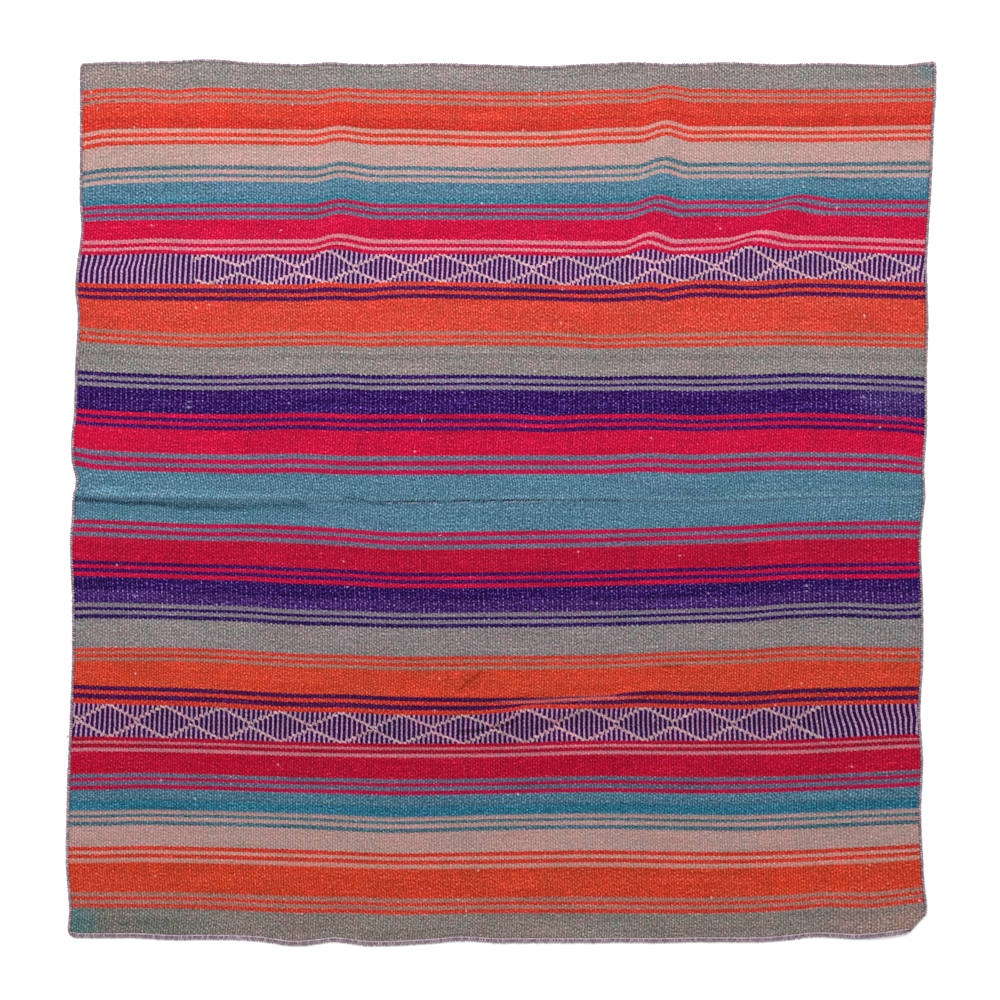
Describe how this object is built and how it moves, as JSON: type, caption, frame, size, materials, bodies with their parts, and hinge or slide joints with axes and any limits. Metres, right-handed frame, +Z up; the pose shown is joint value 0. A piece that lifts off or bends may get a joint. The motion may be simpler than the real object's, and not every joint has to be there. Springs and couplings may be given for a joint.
{
  "type": "woven blanket",
  "caption": "Flat-laid striped wool blanket, woven in panels joined along the middle, with patterned bands and overcast yarn edging.",
  "frame": {"origin": "middle of the blanket's bounding box, on the floor that it lies on", "axes": "+X along the stripes, +Y across the stripes towards the outer edge of the upper panel, +Z up from the floor"},
  "size_m": [1.304, 1.329, 0.0107],
  "materials": {
    "striped_wool": "matte warp-faced wool in orange, magenta, teal, purple, pink and gray stripes",
    "edging_yarn": "matte plied yarn in lilac gray",
    "seam_yarn": "matte plied yarn in pale gray"
  },
  "bodies": {
    "root": {"panel_upper": "striped_wool", "panel_lower": "striped_wool", "edging_top": "edging_yarn", "edging_bottom": "edging_yarn", "edging_left_upper": "edging_yarn", "edging_left_lower": "edging_yarn", "edging_right_upper": "edging_yarn", "edging_right_lower": "edging_yarn"}
  },
  "joints": []
}
